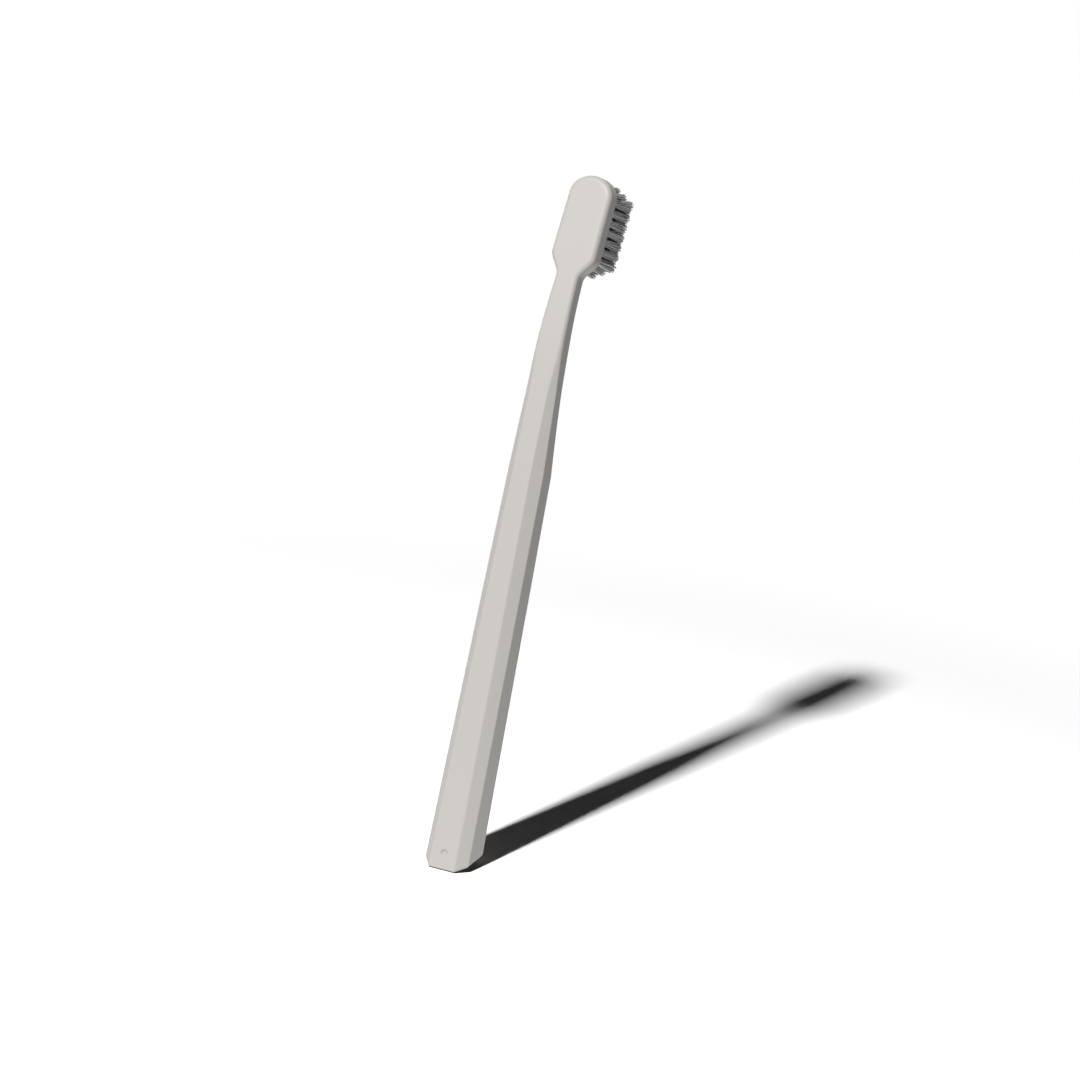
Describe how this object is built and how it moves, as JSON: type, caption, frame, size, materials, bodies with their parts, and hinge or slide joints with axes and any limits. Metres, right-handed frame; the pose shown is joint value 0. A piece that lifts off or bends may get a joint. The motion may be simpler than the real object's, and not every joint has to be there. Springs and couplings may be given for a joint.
{
  "type": "manual toothbrush",
  "caption": "Upright manual toothbrush with an eight-sided tapering grip, a slim bent neck, a small round-ended head and a dense field of flat-trimmed bristle tufts.",
  "frame": {"origin": "middle of the handle's slanted end face, on the grip's axis", "axes": "+Z along the grip's axis towards the head, -Y out of the plain back of the handle and head, +Y the way the bristles point, X across the width"},
  "size_m": [0.0122, 0.0219, 0.1751],
  "materials": {
    "handle_plastic": "satin moulded plastic, warm light grey",
    "bristle": "grey filament bundles, slightly translucent",
    "anchor_wire": "drawn flat wire"
  },
  "bodies": {
    "root": {"handle": "handle_plastic", "tuft_a1": "bristle", "tuft_a2": "bristle", "tuft_a3": "bristle", "tuft_a4": "bristle", "tuft_a5": "bristle", "tuft_a6": "bristle", "tuft_a7": "bristle", "tuft_b1": "bristle", "tuft_b2": "bristle", "tuft_b3": "bristle", "tuft_b4": "bristle", "tuft_b5": "bristle", "tuft_b6": "bristle", "tuft_b7": "bristle", "tuft_b8": "bristle", "tuft_c1": "bristle", "tuft_c2": "bristle", "tuft_c3": "bristle", "tuft_c4": "bristle", "tuft_c5": "bristle", "tuft_c6": "bristle", "tuft_c7": "bristle", "tuft_c8": "bristle", "tuft_c9": "bristle", "tuft_d1": "bristle", "tuft_d2": "bristle", "tuft_d3": "bristle", "tuft_d4": "bristle", "tuft_d5": "bristle", "tuft_d6": "bristle", "tuft_d7": "bristle", "tuft_d8": "bristle", "tuft_e1": "bristle", "tuft_e2": "bristle", "tuft_e3": "bristle", "tuft_e4": "bristle", "tuft_e5": "bristle", "tuft_e6": "bristle", "tuft_e7": "bristle", "anchors": "anchor_wire"}
  },
  "joints": []
}
